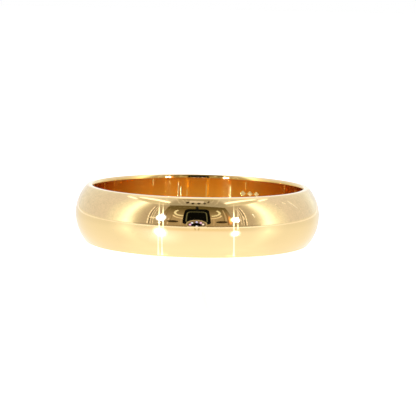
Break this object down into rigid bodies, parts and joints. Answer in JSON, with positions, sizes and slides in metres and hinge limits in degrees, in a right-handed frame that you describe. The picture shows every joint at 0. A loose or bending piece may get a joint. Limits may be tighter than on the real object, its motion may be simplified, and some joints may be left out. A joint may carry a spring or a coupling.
{
  "type": "wedding band",
  "caption": "Plain wedding band with a domed outside, a straight bore with eased edges, for a finger.",
  "frame": {"origin": "centre of the bore at mid-width", "axes": "+Z along the finger, -Y towards the viewer, +X to the viewer's right"},
  "size_m": [0.0214, 0.0214, 0.005],
  "materials": {
    "gold": "mirror-polished 18 carat yellow gold"
  },
  "bodies": {
    "root": {"band": "gold"}
  },
  "joints": []
}
